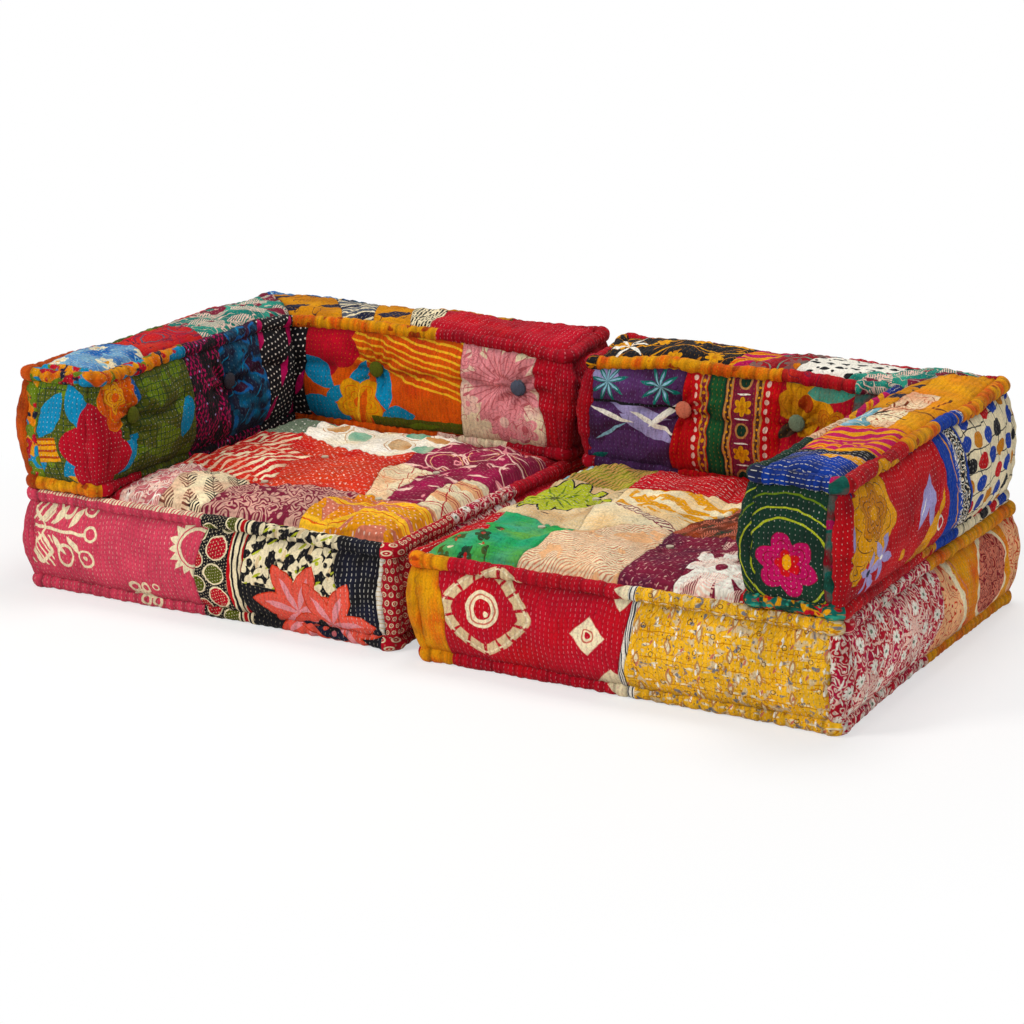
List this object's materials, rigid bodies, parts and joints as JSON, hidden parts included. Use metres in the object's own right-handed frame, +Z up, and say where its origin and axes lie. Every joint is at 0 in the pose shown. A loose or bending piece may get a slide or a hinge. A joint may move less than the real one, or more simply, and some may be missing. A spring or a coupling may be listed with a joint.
{
  "type": "modular sofa bed",
  "caption": "Low modular sofa bed of patchwork floor cushions: tufted seat mattresses with loose L-shaped backrests, hand-stitched rolled edges and covered buttons.",
  "frame": {"origin": "on the floor, at the middle of the whole set's box", "axes": "+X to the right seen from the front, along the row of seats; +Y towards the backs; +Z up; the front faces -Y"},
  "size_m": [1.7706, 0.903, 0.4553],
  "materials": {
    "left_seat_quilt": "matt woven cotton",
    "right_seat_quilt": "matt woven cotton",
    "left_seat_side_quilt": "matt woven cotton",
    "right_seat_side_quilt": "matt woven cotton",
    "left_arm_quilt": "matt woven cotton",
    "left_back_quilt": "matt woven cotton",
    "right_arm_quilt": "matt woven cotton",
    "right_back_quilt": "matt woven cotton",
    "left_top_quilt": "matt woven cotton",
    "right_top_quilt": "matt woven cotton",
    "left_roll_cloth": "matt woven cotton",
    "right_roll_cloth": "matt woven cotton",
    "plain_underside_cloth": "matt woven cotton",
    "button_cloth": "matt woven cotton",
    "cotton_filling": "matt woven cotton",
    "tufting_cord": "matt woven cotton",
    "button_plate_metal": "satin"
  },
  "bodies": {
    "left_seat": {"left_seat_core": "cotton_filling", "left_seat_top_panel": "left_seat_quilt", "left_seat_bottom_panel": "plain_underside_cloth", "left_seat_front_band": "left_seat_side_quilt", "left_seat_inner_band": "left_seat_side_quilt", "left_seat_back_band": "left_seat_side_quilt", "left_seat_outer_band": "left_seat_side_quilt", "left_seat_top_roll": "left_roll_cloth", "left_seat_bottom_roll": "left_roll_cloth", "left_seat_corner_rolls": "left_roll_cloth", "left_seat_tuft_knots": "tufting_cord", "left_seat_tuft_cords": "tufting_cord"},
    "left_backrest": {"left_backrest_core": "cotton_filling", "left_backrest_top_roll": "left_roll_cloth", "left_backrest_bottom_roll": "left_roll_cloth", "left_backrest_corner_rolls": "left_roll_cloth", "left_backrest_buttons": "button_cloth", "left_backrest_button_plates": "button_plate_metal", "left_backrest_tuft_knots": "tufting_cord", "left_backrest_tuft_cords": "tufting_cord", "left_arm_end_band": "left_arm_quilt", "left_arm_inner_band": "left_arm_quilt", "left_arm_outer_band": "left_arm_quilt", "left_arm_top_panel": "left_top_quilt", "left_arm_bottom_panel": "plain_underside_cloth", "left_back_end_band": "left_back_quilt", "left_back_inner_band": "left_back_quilt", "left_back_outer_band": "left_back_quilt", "left_back_top_panel": "left_top_quilt", "left_back_bottom_panel": "plain_underside_cloth"},
    "right_seat": {"right_seat_core": "cotton_filling", "right_seat_top_panel": "right_seat_quilt", "right_seat_bottom_panel": "plain_underside_cloth", "right_seat_front_band": "right_seat_side_quilt", "right_seat_inner_band": "right_seat_side_quilt", "right_seat_back_band": "right_seat_side_quilt", "right_seat_outer_band": "right_seat_side_quilt", "right_seat_top_roll": "right_roll_cloth", "right_seat_bottom_roll": "right_roll_cloth", "right_seat_corner_rolls": "right_roll_cloth", "right_seat_tuft_knots": "tufting_cord", "right_seat_tuft_cords": "tufting_cord"},
    "right_backrest": {"right_backrest_core": "cotton_filling", "right_backrest_top_roll": "right_roll_cloth", "right_backrest_bottom_roll": "right_roll_cloth", "right_backrest_corner_rolls": "right_roll_cloth", "right_backrest_buttons": "button_cloth", "right_backrest_button_plates": "button_plate_metal", "right_backrest_tuft_knots": "tufting_cord", "right_backrest_tuft_cords": "tufting_cord", "right_arm_end_band": "right_arm_quilt", "right_arm_inner_band": "right_arm_quilt", "right_arm_outer_band": "right_arm_quilt", "right_arm_top_panel": "right_top_quilt", "right_arm_bottom_panel": "plain_underside_cloth", "right_back_end_band": "right_back_quilt", "right_back_inner_band": "right_back_quilt", "right_back_outer_band": "right_back_quilt", "right_back_top_panel": "right_top_quilt", "right_back_bottom_panel": "plain_underside_cloth"}
  },
  "joints": [
    {"name": "left_backrest_lift", "type": "slide", "parent": "left_seat", "child": "left_backrest", "axis": [0, 0, 1], "range_m": [0, 0.35]},
    {"name": "right_backrest_lift", "type": "slide", "parent": "right_seat", "child": "right_backrest", "axis": [0, 0, 1], "range_m": [0, 0.35]},
    {"name": "modules_part", "type": "slide", "parent": "left_seat", "child": "right_seat", "axis": [1, 0, 0], "range_m": [0, 0.6]}
  ]
}
